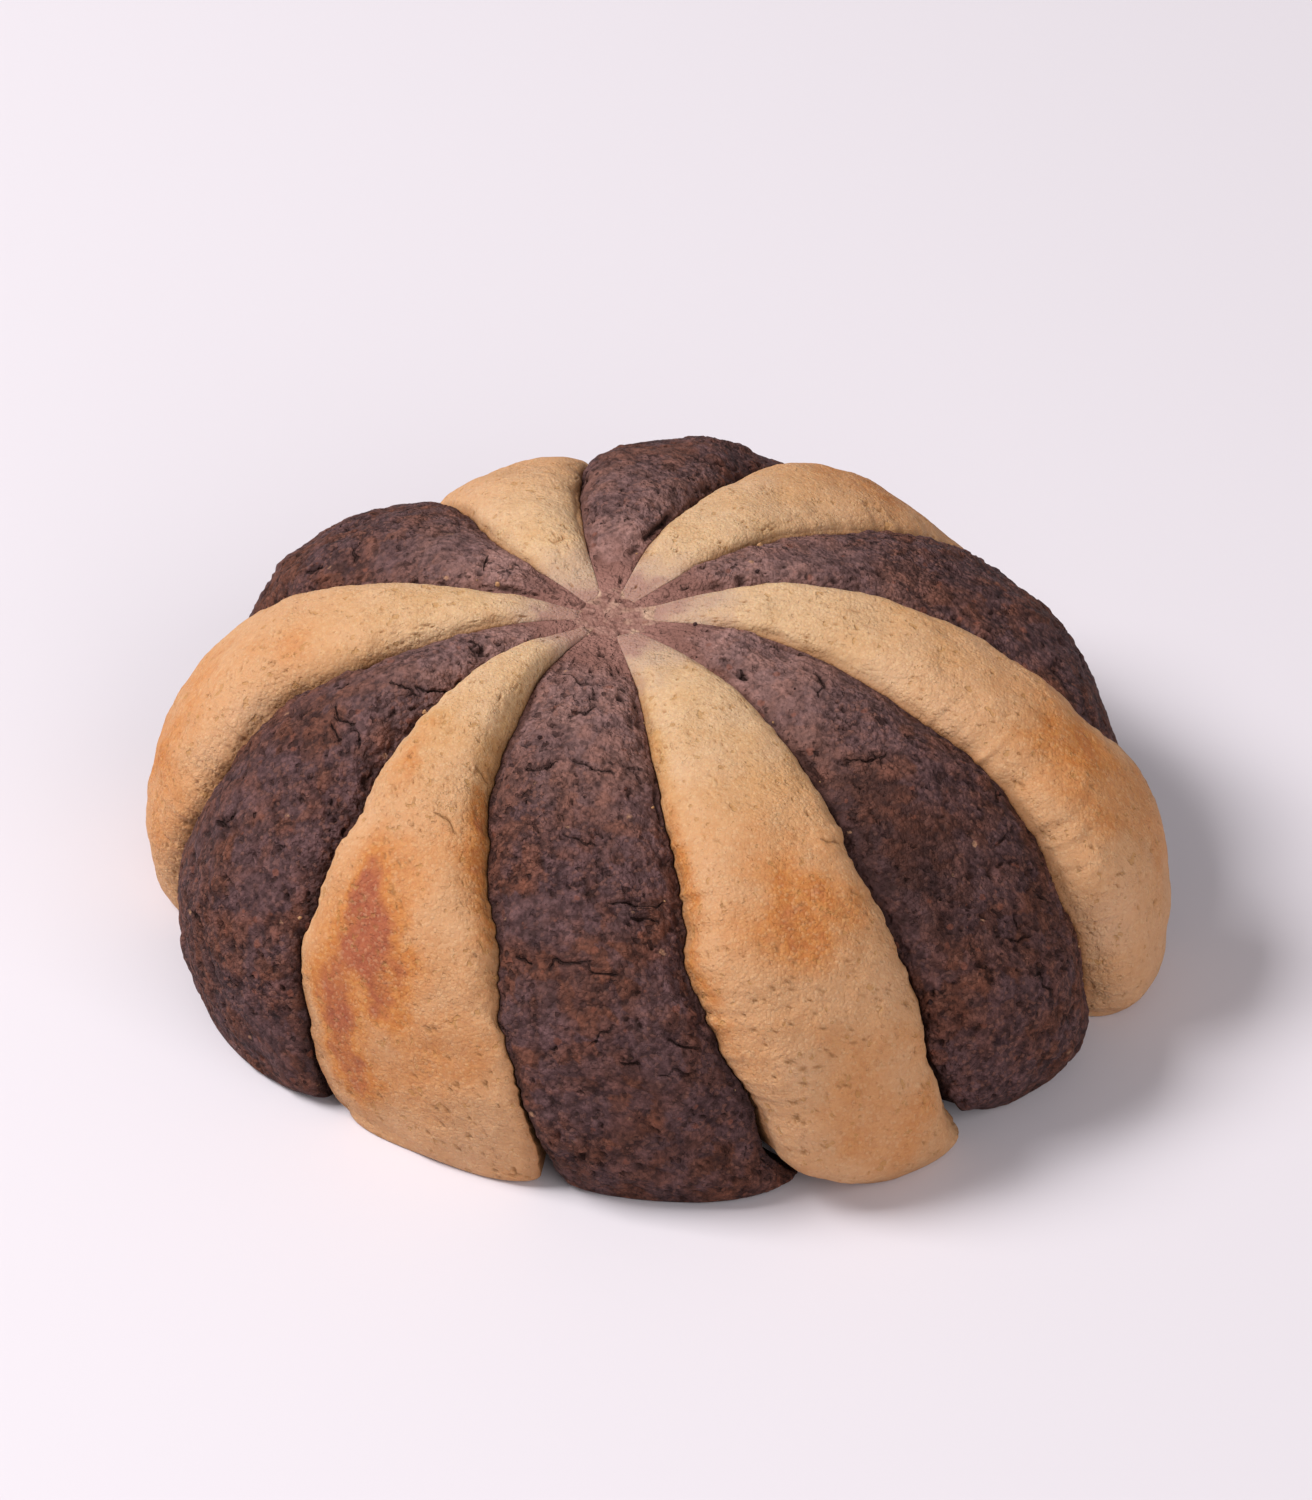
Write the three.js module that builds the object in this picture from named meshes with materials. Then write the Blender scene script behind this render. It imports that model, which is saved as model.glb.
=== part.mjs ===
// Flower cookie: six cocoa and six cream petals of shortbread dough, laid in turn round a
// small knot where their tips are pinched together, and baked on a flat tray.
// Millimetres, +Z up. The origin is the middle of the flat base, and the side that shows
// best faces -Y. A bearing is an angle in degrees round the cookie: 0 is the front (-Y) and
// 90 is the right (+X).

import * as THREE from 'three';

// Driving dimensions of the whole cookie
const GROOVE_RADIUS = 22.7;
const GROOVE_TOP = 16.6;
const GIRTH_HEIGHT = 3.0;
const BASE_SHARE = 0.955;
const SHOULDER_FULLNESS = 2.3;
const BASE_MIDDLE = { x: -0.09, y: 0.728 };

// The knot is off centre and a little sunk. A share is a part of the way out from the knot
// to the grooves at the girth. The knot's dome is three quarters up halfway in.
const KNOT = { x: -2.5, y: 1.8, sink: 0.6, sinkWidth: 0.16, share: 0.054, dome: 0.25 };
const TIP_SHARE = 0.07;
const CROWN_RISE = 0.75;

// A stretch is 0 at the knot, GIRTH_STRETCH at the widest place and 1 at the base's edge
const GIRTH_STRETCH = 0.8;
const GIRTH_TUCK_ANGLE = THREE.MathUtils.degToRad(75);

// The grooves bend between these stretches, and their middle bearing lies halfway between
const GROOVE_BEND = { start: 0.1, end: 0.95 };

// The grooves widen towards the base, which rounds the petals' ends
const END_ROUNDING = { start: 0.62, depth: 0.8 };

// Free space between neighbouring petals, and between their tips and the knot
const GAP = 0.3;

// How far a lobe stands out of its grooves at the rim, and how square its section is
const LOBES = {
  cream: { height: 2.45, flatness: 2.6, roundness: 0.5 },
  cocoa: { height: 1.7, flatness: 2.2, roundness: 0.6 },
};
const LOBE_GROWTH = 1.6;
const REACH_GROWTH = 4;

// Uneven dough: slow swells of the lobes, and each groove's long wander and short jags. A
// turn is the step in phase from one petal or groove to the next.
const SWELL = {
  along: { height: 0.15, waves: 2.3, turn: 0.27 },
  across: { height: 0.07, waves: 0.45, turn: 0.62 },
  both: 0.11,
};
const WANDER = { degrees: 0.9, waves: 2.6, turn: 0.37 };
const JAG = { degrees: 0.3, waves: 6.3, turn: 0.61 };

// One row a petal, in turn to the right from the front. groove is the bearing of the groove
// on the petal's first side, near the knot, halfway out and at the rim. reach is how far
// its end stands out beyond the mean, and rise how high it stands against its kind.
const PETALS = [
  { name: 'cocoa_petal_1', dough: 'cocoa', groove: [-40, -22, -13], reach: -0.7, rise: 1.0 },
  { name: 'cream_petal_1', dough: 'cream', groove: [8, 6, 19], reach: -0.3, rise: 1.05 },
  { name: 'cocoa_petal_2', dough: 'cocoa', groove: [46, 34, 41], reach: 0.0, rise: 0.95 },
  { name: 'cream_petal_2', dough: 'cream', groove: [80, 65, 64], reach: 0.4, rise: 1.0 },
  { name: 'cocoa_petal_3', dough: 'cocoa', groove: [112, 90, 86], reach: -0.8, rise: 0.9 },
  { name: 'cream_petal_3', dough: 'cream', groove: [136, 132, 128], reach: -1.0, rise: 0.75 },
  { name: 'cocoa_petal_4', dough: 'cocoa', groove: [167, 159, 158], reach: 0.5, rise: 1.2 },
  { name: 'cream_petal_4', dough: 'cream', groove: [197, 188, 188], reach: -1.7, rise: 0.75 },
  { name: 'cocoa_petal_5', dough: 'cocoa', groove: [228, 212, 212], reach: 0.7, rise: 1.0 },
  { name: 'cream_petal_5', dough: 'cream', groove: [253, 247, 245], reach: 0.0, rise: 1.0 },
  { name: 'cocoa_petal_6', dough: 'cocoa', groove: [277, 276, 277], reach: 0.0, rise: 1.0 },
  { name: 'cream_petal_6', dough: 'cream', groove: [300, 308, 316], reach: -2.6, rise: 1.2 },
];

// Steps along a petal above and below the girth, across a petal, and round the knot
const STEPS_ABOVE_GIRTH = 20;
const STEPS_BELOW_GIRTH = 5;
const STEPS_ACROSS = 12;
const STEPS_ROUND_KNOT = 24;

const DOUGHS = {
  cocoa: new THREE.MeshStandardMaterial({ color: 0x5e3d3a, roughness: 0.9, metalness: 0 }),
  cream: new THREE.MeshStandardMaterial({ color: 0xcb9f76, roughness: 0.85, metalness: 0 }),
  knot: new THREE.MeshStandardMaterial({ color: 0x9a7060, roughness: 0.9, metalness: 0 }),
};

const TURN = 2 * Math.PI;

// The cookie's meridian. Above the girth it is a superellipse with full shoulders, below it
// an arc tucked in to the base. Gives the share of the way out, the height, and the lean of
// the surface from level (0) to upright (a quarter turn).
function meridian(stretch) {
  const lean = Math.min(stretch / GIRTH_STRETCH, 1) * Math.PI / 2;
  const power = 2 / SHOULDER_FULLNESS;
  let share = Math.sin(lean) ** power;
  let height = GIRTH_HEIGHT + (GROOVE_TOP - GIRTH_HEIGHT) * Math.max(Math.cos(lean), 0) ** power;
  if (stretch > GIRTH_STRETCH) {
    const turn = (stretch - GIRTH_STRETCH) / (1 - GIRTH_STRETCH) * GIRTH_TUCK_ANGLE;
    const tuck = (1 - Math.cos(turn)) / (1 - Math.cos(GIRTH_TUCK_ANGLE));
    share = 1 - (1 - BASE_SHARE) * tuck;
    height = GIRTH_HEIGHT * (1 - Math.sin(turn) / Math.sin(GIRTH_TUCK_ANGLE));
  }
  height -= KNOT.sink * Math.exp(-((share / KNOT.sinkWidth) ** 2));
  return { share, height: stretch >= 1 ? 0 : height, lean };
}

// A sine wave whose phase differs from one petal or groove to the next
function wave({ waves, turn }, distance, index) {
  return Math.sin(TURN * (waves * distance + turn * index));
}

// The bearing of a groove at a stretch: a parabola through its three bearings, with a small
// wander and jags that fade at both ends
function grooveBearing(index, stretch) {
  const wrapped = (index + PETALS.length) % PETALS.length;
  const turns = Math.floor(index / PETALS.length);
  const [inner, halfway, rim] = PETALS[wrapped].groove;
  const along = THREE.MathUtils.clamp(stretch, GROOVE_BEND.start, GROOVE_BEND.end);
  const t = 2 * (along - GROOVE_BEND.start) / (GROOVE_BEND.end - GROOVE_BEND.start) - 1;
  const bow = (inner + rim) / 2 - halfway;
  const wander = WANDER.degrees * wave(WANDER, along, wrapped);
  const jag = JAG.degrees * wave(JAG, along, wrapped);
  const bend = (rim - inner) / 2 * t + bow * t * t;
  return halfway + bend + (wander + jag) * (1 - t * t) + 360 * turns;
}

// A slow swell of the dough, different on each petal
function swell(index, stretch, across) {
  const along = wave(SWELL.along, stretch, index);
  const sideways = wave(SWELL.across, across, index);
  return SWELL.along.height * along + SWELL.across.height * sideways
    + SWELL.both * along * sideways;
}

// How far a petal's side is drawn in from the middle of its groove
function grooveInset(stretch) {
  const rounding = Math.max((stretch - END_ROUNDING.start) / (1 - END_ROUNDING.start), 0);
  return GAP / 2 + END_ROUNDING.depth * rounding ** 2;
}

// A point at a bearing, some way out from the knot's side of the cookie, and moved sideways
function place(share, out, bearing, sideways, height) {
  return new THREE.Vector3(
    KNOT.x * (1 - share) + out * Math.sin(bearing) + sideways * Math.cos(bearing) - BASE_MIDDLE.x,
    KNOT.y * (1 - share) - out * Math.cos(bearing) + sideways * Math.sin(bearing) - BASE_MIDDLE.y,
    height,
  );
}

// The petal's outer surface, at a stretch from the knot to the base's edge and across from
// its first groove (-1) to its second (1). The lobe stands out square to the meridian.
function petalPoint(index, stretch, across) {
  const petal = PETALS[index];
  const lobe = LOBES[petal.dough];
  const { share, height, lean } = meridian(stretch);
  const first = grooveBearing(index, stretch);
  const second = grooveBearing(index + 1, stretch);
  const bearing = THREE.MathUtils.degToRad(first + (second - first) * (across + 1) / 2);
  const section = Math.max(1 - Math.abs(across) ** lobe.flatness, 0) ** lobe.roundness;
  const growth = 1 - (1 - share) ** LOBE_GROWTH;
  const proud = (lobe.height * petal.rise + swell(index, stretch, across)) * growth * section;
  const out = share * GROOVE_RADIUS + proud * Math.sin(lean)
    + petal.reach * share ** REACH_GROWTH * section;
  const level = stretch >= 1 ? 0 : height + proud * Math.cos(lean);
  return place(share, out, bearing, -across * grooveInset(stretch), level);
}

// The foot of a petal's side on the base: it runs evenly from the tip to the base's edge, so
// that the side stands on the base all the way along the groove
function footPoint(index, stretch, side, tip) {
  const share = TIP_SHARE + (BASE_SHARE - TIP_SHARE) * (stretch - tip) / (1 - tip);
  const groove = grooveBearing(side < 0 ? index : index + 1, stretch);
  const bearing = THREE.MathUtils.degToRad(groove);
  return place(share, share * GROOVE_RADIUS, bearing, -side * grooveInset(stretch), 0);
}

// The stretch at which the meridian reaches a share of the way out, above the girth
function stretchAtShare(share) {
  return Math.asin(share ** (SHOULDER_FULLNESS / 2)) / (Math.PI / 2) * GIRTH_STRETCH;
}

// Collects points and triangles of one closed body
class Body {
  constructor() {
    this.points = [];
    this.triangles = [];
  }

  add(point) {
    this.points.push(point.x, point.y, point.z);
    return this.points.length / 3 - 1;
  }

  triangle(a, b, c) {
    this.triangles.push(a, b, c);
  }

  // Two rows of point numbers, joined by triangles that face up when the second row lies to
  // the left of the first
  strip(row, next) {
    for (let i = 0; i + 1 < row.length; i += 1) {
      this.triangle(row[i], row[i + 1], next[i + 1]);
      this.triangle(row[i], next[i + 1], next[i]);
    }
  }

  geometry() {
    const geometry = new THREE.BufferGeometry();
    geometry.setAttribute('position', new THREE.Float32BufferAttribute(this.points, 3));
    geometry.setIndex(this.triangles);
    geometry.computeVertexNormals();
    return geometry;
  }
}

// The stretches at which a petal has points, evenly above the girth and evenly below it
function petalStretches(tip) {
  const above = Array.from({ length: STEPS_ABOVE_GIRTH }, (_, i) => (
    tip + (GIRTH_STRETCH - tip) * i / STEPS_ABOVE_GIRTH));
  const below = Array.from({ length: STEPS_BELOW_GIRTH + 1 }, (_, i) => (
    GIRTH_STRETCH + (1 - GIRTH_STRETCH) * i / STEPS_BELOW_GIRTH));
  return [...above, ...below];
}

// One petal: the lobed outer surface, a side under each groove, the blunt tip and the flat
// underside
function petalGeometry(index) {
  const body = new Body();
  const tip = stretchAtShare(TIP_SHARE);
  const stretches = petalStretches(tip);
  const rows = stretches.map((stretch) => {
    const row = [];
    for (let i = 0; i <= STEPS_ACROSS; i += 1) {
      const across = Math.sin((i / STEPS_ACROSS - 0.5) * Math.PI);
      row.push(body.add(petalPoint(index, stretch, across)));
    }
    return row;
  });
  for (let i = 0; i + 1 < rows.length; i += 1) {
    body.strip(rows[i + 1], rows[i]);
  }

  const edge = rows[rows.length - 1];
  const feetOf = (side, corner) => [
    ...stretches.slice(0, -1).map((stretch) => body.add(footPoint(index, stretch, side, tip))),
    corner,
  ];
  const firstFeet = feetOf(-1, edge[0]);
  const secondFeet = feetOf(1, edge[STEPS_ACROSS]);
  const last = stretches.length - 1;
  for (let i = 0; i < last; i += 1) {
    body.triangle(rows[i][0], firstFeet[i], firstFeet[i + 1]);
    body.triangle(rows[i][STEPS_ACROSS], secondFeet[i + 1], secondFeet[i]);
    if (i + 1 < last) {
      body.triangle(rows[i][0], firstFeet[i + 1], rows[i + 1][0]);
      body.triangle(rows[i][STEPS_ACROSS], rows[i + 1][STEPS_ACROSS], secondFeet[i + 1]);
    }
    body.triangle(firstFeet[i], secondFeet[i], secondFeet[i + 1]);
    body.triangle(firstFeet[i], secondFeet[i + 1], firstFeet[i + 1]);
  }

  for (let i = 0; i < STEPS_ACROSS; i += 1) {
    body.triangle(firstFeet[0], rows[0][i], rows[0][i + 1]);
  }
  body.triangle(firstFeet[0], rows[0][STEPS_ACROSS], secondFeet[0]);
  for (let i = 1; i < STEPS_ACROSS; i += 1) {
    body.triangle(edge[0], edge[i + 1], edge[i]);
  }
  return body.geometry();
}

// The knot of pinched tips: an upright plug that follows the petals' tips, with a low dome
function knotGeometry() {
  const body = new Body();
  const { height } = meridian(stretchAtShare(KNOT.share));
  const ring = (share, level) => {
    const row = [];
    for (let i = 0; i < STEPS_ROUND_KNOT; i += 1) {
      const bearing = TURN * i / STEPS_ROUND_KNOT;
      row.push(body.add(place(share, share * GROOVE_RADIUS, bearing, 0, level)));
    }
    return [...row, row[0]];
  };
  const base = ring(KNOT.share, 0);
  const brim = ring(KNOT.share, height);
  const crown = ring(KNOT.share / 2, height + KNOT.dome * CROWN_RISE);
  const bottom = body.add(place(0, 0, 0, 0, 0));
  const top = body.add(place(0, 0, 0, 0, height + KNOT.dome));
  body.strip(base, brim);
  body.strip(brim, crown);
  for (let i = 0; i < STEPS_ROUND_KNOT; i += 1) {
    body.triangle(top, crown[i], crown[i + 1]);
    body.triangle(bottom, base[i + 1], base[i]);
  }
  return body.geometry();
}

const cookie = new THREE.Group();
PETALS.forEach((petal, index) => {
  const mesh = new THREE.Mesh(petalGeometry(index), DOUGHS[petal.dough]);
  mesh.name = petal.name;
  cookie.add(mesh);
});
const knot = new THREE.Mesh(knotGeometry(), DOUGHS.knot);
knot.name = 'centre_knot';
cookie.add(knot);

export default cookie;
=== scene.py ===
"""Flower cookie: six cocoa and six cream petals of shortbread dough round a small knot.

Each petal, the knot and the loose crumbs are closed surfaces worked out with numpy on grids.
The form repeats the solids' formula, and the dough's crumb, pits and cracks are added to it.
Lengths in the tables are millimetres and bearings are degrees; meshes are made in metres.
A bearing runs round the cookie: 0 is the front (-Y) and 90 is the right (+X).
"""

import itertools
import math
from collections import namedtuple

import bpy
import numpy as np
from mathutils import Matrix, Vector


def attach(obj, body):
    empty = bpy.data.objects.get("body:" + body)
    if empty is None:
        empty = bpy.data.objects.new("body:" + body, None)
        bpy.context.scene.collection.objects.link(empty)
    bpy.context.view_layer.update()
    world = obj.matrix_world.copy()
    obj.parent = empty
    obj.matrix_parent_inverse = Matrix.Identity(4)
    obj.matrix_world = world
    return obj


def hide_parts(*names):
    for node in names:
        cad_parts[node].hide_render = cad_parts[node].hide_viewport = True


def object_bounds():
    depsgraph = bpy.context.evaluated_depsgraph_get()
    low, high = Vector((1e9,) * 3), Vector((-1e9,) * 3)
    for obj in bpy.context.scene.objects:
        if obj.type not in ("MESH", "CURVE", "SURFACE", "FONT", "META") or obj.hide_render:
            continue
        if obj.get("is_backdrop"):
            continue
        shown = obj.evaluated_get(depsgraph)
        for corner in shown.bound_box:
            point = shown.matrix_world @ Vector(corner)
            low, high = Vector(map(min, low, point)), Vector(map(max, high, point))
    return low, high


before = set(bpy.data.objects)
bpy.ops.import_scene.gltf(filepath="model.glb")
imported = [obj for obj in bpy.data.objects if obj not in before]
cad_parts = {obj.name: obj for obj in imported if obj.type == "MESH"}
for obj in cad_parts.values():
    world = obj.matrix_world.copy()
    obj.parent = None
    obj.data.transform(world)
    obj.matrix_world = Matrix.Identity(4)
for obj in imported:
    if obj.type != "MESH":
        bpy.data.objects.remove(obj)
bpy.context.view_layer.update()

MM = 0.001
TURN = 2 * math.pi

# The whole cookie's form
GROOVE_RADIUS = 22.7
GROOVE_TOP = 16.6
GIRTH_HEIGHT = 3.0
BASE_SHARE = 0.955
SHOULDER_FULLNESS = 2.3
BASE_MIDDLE = (-0.09, 0.728)
KNOT_PLACE = (-2.5, 1.8)
KNOT_SINK = 0.6
KNOT_SINK_WIDTH = 0.16
TIP_SHARE = 0.07
GIRTH_STRETCH = 0.8
GIRTH_TUCK_ANGLE = math.radians(75)
GROOVE_BEND_START = 0.1
GROOVE_BEND_END = 0.95

# The grooves widen towards the base, which rounds the petals' ends. Higher up the petals
# are pressed together, a hair's breadth apart.
END_ROUNDING_START = 0.62
END_ROUNDING_DEPTH = 0.8
PRESSED_GAP = 0.04

# How far a lobe stands out of its grooves at the rim, and how square its section is
Lobe = namedtuple("Lobe", "height flatness roundness")
LOBES = {
    "cream": Lobe(height=2.45, flatness=2.6, roundness=0.5),
    "cocoa": Lobe(height=1.7, flatness=2.2, roundness=0.6),
}
LOBE_GROWTH = 1.6
REACH_GROWTH = 4

# Slow swells of the lobes, and each groove's wander and jags. A turn is the step in phase
# from one petal or groove to the next.
Wave = namedtuple("Wave", "height waves turn")
SWELL_ALONG = Wave(0.15, 2.3, 0.27)
SWELL_ACROSS = Wave(0.07, 0.45, 0.62)
SWELL_BOTH = 0.11
WANDER = Wave(0.9, 2.6, 0.37)
JAG = Wave(0.3, 6.3, 0.61)

# One row a petal, to the right from the front: its first groove's bearing near the knot,
# halfway and at the rim, how far its end stands out, and how high it stands for its kind
Petal = namedtuple("Petal", "name dough groove reach rise")
PETALS = [
    Petal("cocoa_petal_1", "cocoa", (-40, -22, -13), -0.7, 1.0),
    Petal("cream_petal_1", "cream", (8, 6, 19), -0.3, 1.05),
    Petal("cocoa_petal_2", "cocoa", (46, 34, 41), 0.0, 0.95),
    Petal("cream_petal_2", "cream", (80, 65, 64), 0.4, 1.0),
    Petal("cocoa_petal_3", "cocoa", (112, 90, 86), -0.8, 0.9),
    Petal("cream_petal_3", "cream", (136, 132, 128), -1.0, 0.75),
    Petal("cocoa_petal_4", "cocoa", (167, 159, 158), 0.5, 1.2),
    Petal("cream_petal_4", "cream", (197, 188, 188), -1.7, 0.75),
    Petal("cocoa_petal_5", "cocoa", (228, 212, 212), 0.7, 1.0),
    Petal("cream_petal_5", "cream", (253, 247, 245), 0.0, 1.0),
    Petal("cocoa_petal_6", "cocoa", (277, 276, 277), 0.0, 1.0),
    Petal("cream_petal_6", "cream", (300, 308, 316), -2.6, 1.2),
]

# Smooth noise is added in layers: each one's share, its size in millimetres and its seed
Noise = namedtuple("Noise", "share size seed")
LUMPS = (Noise(0.45, 4.6, 0), Noise(0.35, 2.1, 1), Noise(0.2, 1.0, 3))
CRUMBLY_PLACES = (Noise(1, 3.1, 2), Noise(0.4, 1.2, 4))
SAND = (Noise(1, 0.26, 25),)
GROOVE_CRUMB = (Noise(0.13, 2.3, 5), Noise(0.07, 0.9, 6), Noise(0.09, 0.35, 8))
RAGGED_HUB = (Noise(0.6, 1.7, 41), Noise(0.4, 0.5, 42))
UNEVEN_EDGE = (Noise(0.5, 0.8, 43),)
CLOUDS = (Noise(0.6, 5.5, 51), Noise(0.4, 2.2, 52))
RAGGED_BROWNING = (Noise(1, 1.1, 53), Noise(0.6, 0.45, 54))
TORN_PLACES = (Noise(1, 2.4, 61), Noise(0.5, 0.7, 62))
TORN_LINE = (Noise(0.12, 0.8, 63),)
DENTS = (Noise(1, 1.3, 61),)
CRACK_WOBBLE = (Noise(0.26, 0.8, 71), Noise(0.2, 0.38, 72))
KNOT_OUTLINE = (Noise(0.14, 1.0, 81),)
KNOT_PATCHES = (Noise(0.6, 1.2, 91), Noise(0.4, 0.5, 92))
CRUMB_DENTS = (Noise(0.35, 1.0, 95),)

# Points of a petal's grid: along it above and below the girth, across its top, across its
# underside (each step there spans whole steps of the top), and down a side
ROWS_ABOVE_GIRTH = 200
ROWS_BELOW_GIRTH = 24
STEPS_ACROSS = 104
STEPS_UNDERSIDE = 26
STEPS_DOWN = 6

# The relief of each dough, in millimetres: how deep each kind is, and the grains' sizes
Dough = namedtuple("Dough", "seed lump coarse coarse_size fine fine_size sand evenness "
                            "pore pore_size pore_level torn cracks crack_depth")
DOUGHS = {
    "cream": Dough(seed=7, lump=0.3, coarse=0.05, coarse_size=0.8, fine=0.035,
                   fine_size=0.36, sand=0.014, evenness=0.3, pore=0.11, pore_size=0.34,
                   pore_level=0.5, torn=0.0, cracks=0, crack_depth=0.14),
    "cocoa": Dough(seed=307, lump=0.42, coarse=0.2, coarse_size=0.95, fine=0.11,
                   fine_size=0.42, sand=0.035, evenness=0.35, pore=0.2, pore_size=0.45,
                   pore_level=0.42, torn=0.25, cracks=8, crack_depth=0.42),
}
RELIEF_SINK = 0.1

# Cracks that show on the front petals: their middle's stretch and across, half their length,
# how far they turn from straight across, their bow, and how deep they are for their dough
CRACKS = {
    "cocoa_petal_1": [
        (0.106, -0.1, 1.4, 0.15, 0.1, 0.9),
        (0.236, -0.38, 1.05, -0.5, -0.1, 1.0),
        (0.23, 0.2, 1.2, 0.35, 0.1, 0.6),
        (0.406, 0.52, 1.5, -0.1, 0.08, 0.8),
        (0.33, 0.05, 0.9, 0.5, 0.1, 0.5),
        (0.5, -0.2, 1.2, -0.3, -0.15, 0.6),
    ],
    "cocoa_petal_2": [(0.3, -0.3, 1.2, 0.6, 0.2, 0.8)],
    "cocoa_petal_6": [
        (0.21, 0.7, 1.1, -0.9, 0.1, 0.8),
        (0.24, 0.35, 0.9, -0.4, -0.1, 0.7),
        (0.33, 0.5, 0.7, 0.4, 0.1, 0.5),
    ],
    "cream_petal_1": [(0.37, 0.6, 0.7, 0.2, 0.2, 0.7)],
    "cream_petal_6": [
        (0.36, 0.42, 0.8, 0.3, -0.2, 0.7),
        (0.275, 0.75, 0.7, 0.2, 0.1, 0.8),
    ],
}

# Browned places, and places of painted shade beside a groove: stretch and across of the
# middle, how far they reach each way, and how dark they are
BROWNINGS_AND_SHADE = {
    "cream_petal_6": [
        (0.53, -0.33, 0.09, 0.2, 0.85),
        (0.58, -0.06, 0.11, 0.32, 0.75),
        (0.73, -0.6, 0.13, 0.3, 0.85),
        (0.28, -0.3, 0.06, 0.3, 0.35),
        # Painted shade along the right edge, beside cocoa_petal_1
        (0.37, 1.0, 0.14, 0.2, 0.85),
        (0.32, 0.0, 0.1, 0.8, 0.22),
    ],
    "cream_petal_1": [
        (0.46, 0.12, 0.06, 0.45, 0.48),
        # Painted shade along the left edge, beside cocoa_petal_1
        (0.35, -1.0, 0.25, 0.16, 0.6),
        (0.33, 0.1, 0.11, 0.7, 0.2),
    ],
    # Painted shade along the first groove, where cream_petal_1's edge stands over the cocoa
    "cocoa_petal_2": [(0.38, -0.75, 0.2, 0.65, 1.0)],
    "cream_petal_2": [
        (0.46, -0.05, 0.1, 0.75, 0.32),
        (0.66, 0.2, 0.1, 0.5, 0.2),
    ],
    "cream_petal_3": [(0.44, -0.1, 0.12, 0.8, 0.4)],
    "cream_petal_4": [(0.6, 0.5, 0.12, 0.5, 0.35)],
    "cream_petal_5": [(0.6, 0.2, 0.14, 0.6, 0.4)],
}

# A crack's mean width and its lip's height, the width of the band along a groove, where the
# relief fades beside a groove, the dents of the underside, and the scatter of the grains
CRACK_WIDTH = 0.12
LIP_HEIGHT = 0.07
EDGE_WIDTH = 0.7
FADE_WIDTH = 0.3
DENT_DEPTH = 0.16
JITTER = 0.9
CRACK_SEED = 100

# The knot: the share of the way out to its rim, its middle's rise and its rim's droop from the
# meridian, and the points of its grid round it, inward and down
KNOT_SHARE = 0.105
KNOT_RISE = 0.16
KNOT_DROOP = 0.34
KNOT_SEED = 507
KNOT_AROUND = 96
KNOT_INWARD = 18
KNOT_DOWN = 8

# Loose crumbs of each dough: how many, and the seed of their places. Their sizes run from the
# least to the most, and small ones are the commonest.
CRUMBS = [("cream", 24, 11), ("cocoa", 60, 12)]
CRUMB_LEAST = 0.05
CRUMB_SPREAD = 0.11
CRUMB_AROUND = 10
CRUMB_TILTS = 7

# The lamps, in metres and watts, and the floor, a hair below the underside
LAMPS = [
    ("key_lamp", (-0.34, 0.02, 0.4), 0.22, 3.5),
    ("fill_lamp", (0.3, -0.5, 0.35), 0.6, 2.7),
]
FLOOR_HALF = 1.5
FLOOR_HEIGHT = -0.00003


def hashed(cells, seed):
    """A random number from 0 to 1 for each three whole numbers: they are multiplied by large
    odd numbers, joined bit by bit and stirred."""
    x, y, z = (cells[..., i].astype(np.int64).astype(np.uint32) for i in range(3))
    mixed = x * np.uint32(0x8DA6B343) ^ y * np.uint32(0xD8163841) ^ z * np.uint32(0xCB1AB31F)
    mixed = mixed ^ np.uint32(seed * 0x9E3779B1 & 0xFFFFFFFF)
    for shift, factor in ((16, 0x7FEB352D), (15, 0x846CA68B)):
        mixed = (mixed ^ mixed >> np.uint32(shift)) * np.uint32(factor)
    return (mixed ^ mixed >> np.uint32(16)) / 2.0**32


def smooth_noise(points, size, seed):
    """Smooth noise from -1 to 1: random numbers at the corners of cubes of that size, blended
    across each cube by a smooth step each way."""
    scaled = points / size
    corner = np.floor(scaled)
    inside = scaled - corner
    blend = inside**3 * (inside * (inside * 6 - 15) + 10)
    total = 0.0
    for step in itertools.product((0, 1), repeat=3):
        share = np.prod(np.where(step, blend, 1 - blend), axis=-1)
        total = total + share * hashed(corner + step, seed)
    return total * 2 - 1


def layered(points, layers, seed=0):
    """Layers of smooth noise added up."""
    return sum(layer.share * smooth_noise(points, layer.size, seed + layer.seed)
               for layer in layers)


def scattered(points, size, seed):
    """Distance to the nearest of random points, in cubes of that size, and that point's own
    random number. One point lies in each cube, off its middle by up to half the jitter."""
    scaled = points / size
    cube = np.floor(scaled)
    nearest = np.full(points.shape[:-1], 9.0)
    own = np.zeros(points.shape[:-1])
    for step in itertools.product((-1, 0, 1), repeat=3):
        near = cube + step
        offset = np.stack([hashed(near, seed + k) - 0.5 for k in range(3)], axis=-1) * JITTER
        distance = np.linalg.norm(near + 0.5 + offset - scaled, axis=-1)
        own = np.where(distance < nearest, hashed(near, seed + 3), own)
        nearest = np.minimum(nearest, distance)
    return nearest, own


def smooth_step(low, high, value):
    """0 below low, 1 above high, and a smooth rise between."""
    t = np.clip((value - low) / (high - low), 0, 1)
    return t * t * (3 - 2 * t)


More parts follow.
